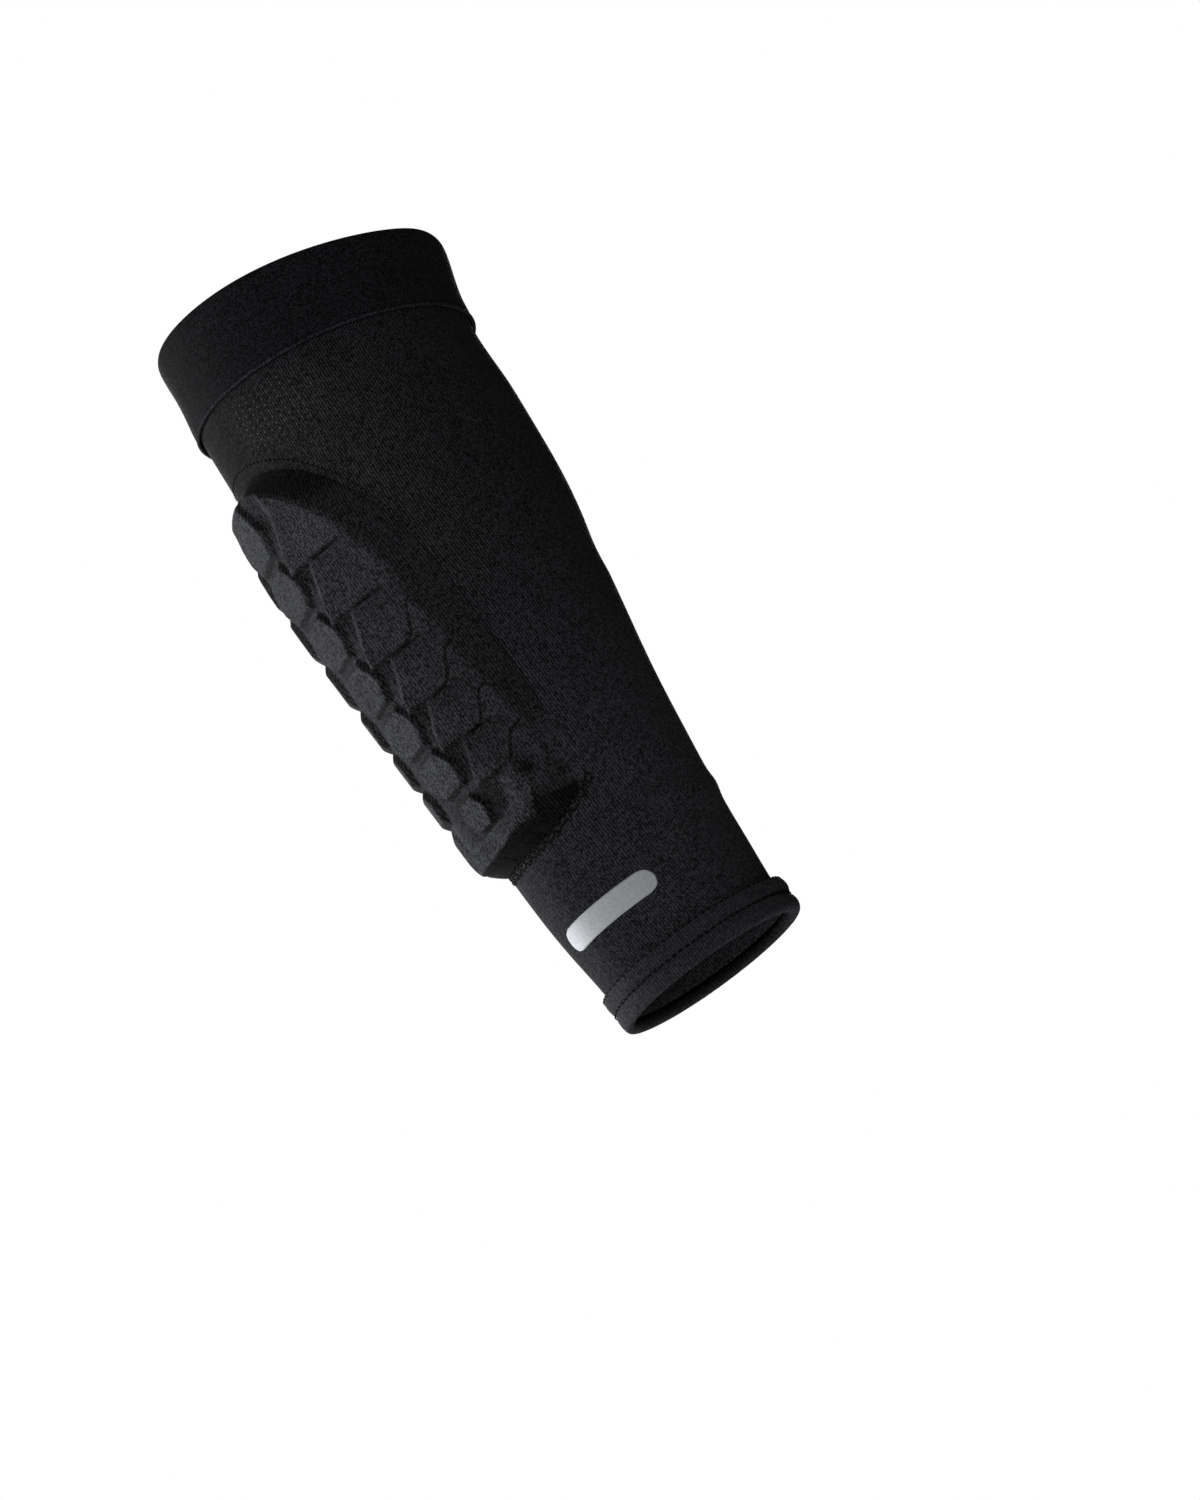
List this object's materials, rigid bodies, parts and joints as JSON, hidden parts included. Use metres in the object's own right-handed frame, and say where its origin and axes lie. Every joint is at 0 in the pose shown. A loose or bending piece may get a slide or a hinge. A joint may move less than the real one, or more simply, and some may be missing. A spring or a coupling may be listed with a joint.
{
  "type": "padded forearm sleeve",
  "caption": "Tapered stretch-knit sleeve for the forearm with a folded elastic cuff, a turned wrist hem and a sewn-on foam pad of raised hexagonal cells; protects in contact sports.",
  "frame": {"origin": "the middle of the wrist opening, where the forearm passes through", "axes": "+Z along the forearm from the wrist to the elbow, -Y the way that the pad faces, +X to the right seen from in front of the pad"},
  "size_m": [0.0912, 0.1032, 0.2554],
  "materials": {
    "knit": "black stretch knit with fine ribs along the arm, slightly sheeny",
    "cuff_elastic": "smooth matt black elastic",
    "pad_knit": "black knit bonded over moulded foam"
  },
  "bodies": {
    "root": {"sleeve_body": "knit", "elbow_cuff": "cuff_elastic", "wrist_hem": "knit", "forearm_pad": "pad_knit"}
  },
  "joints": []
}
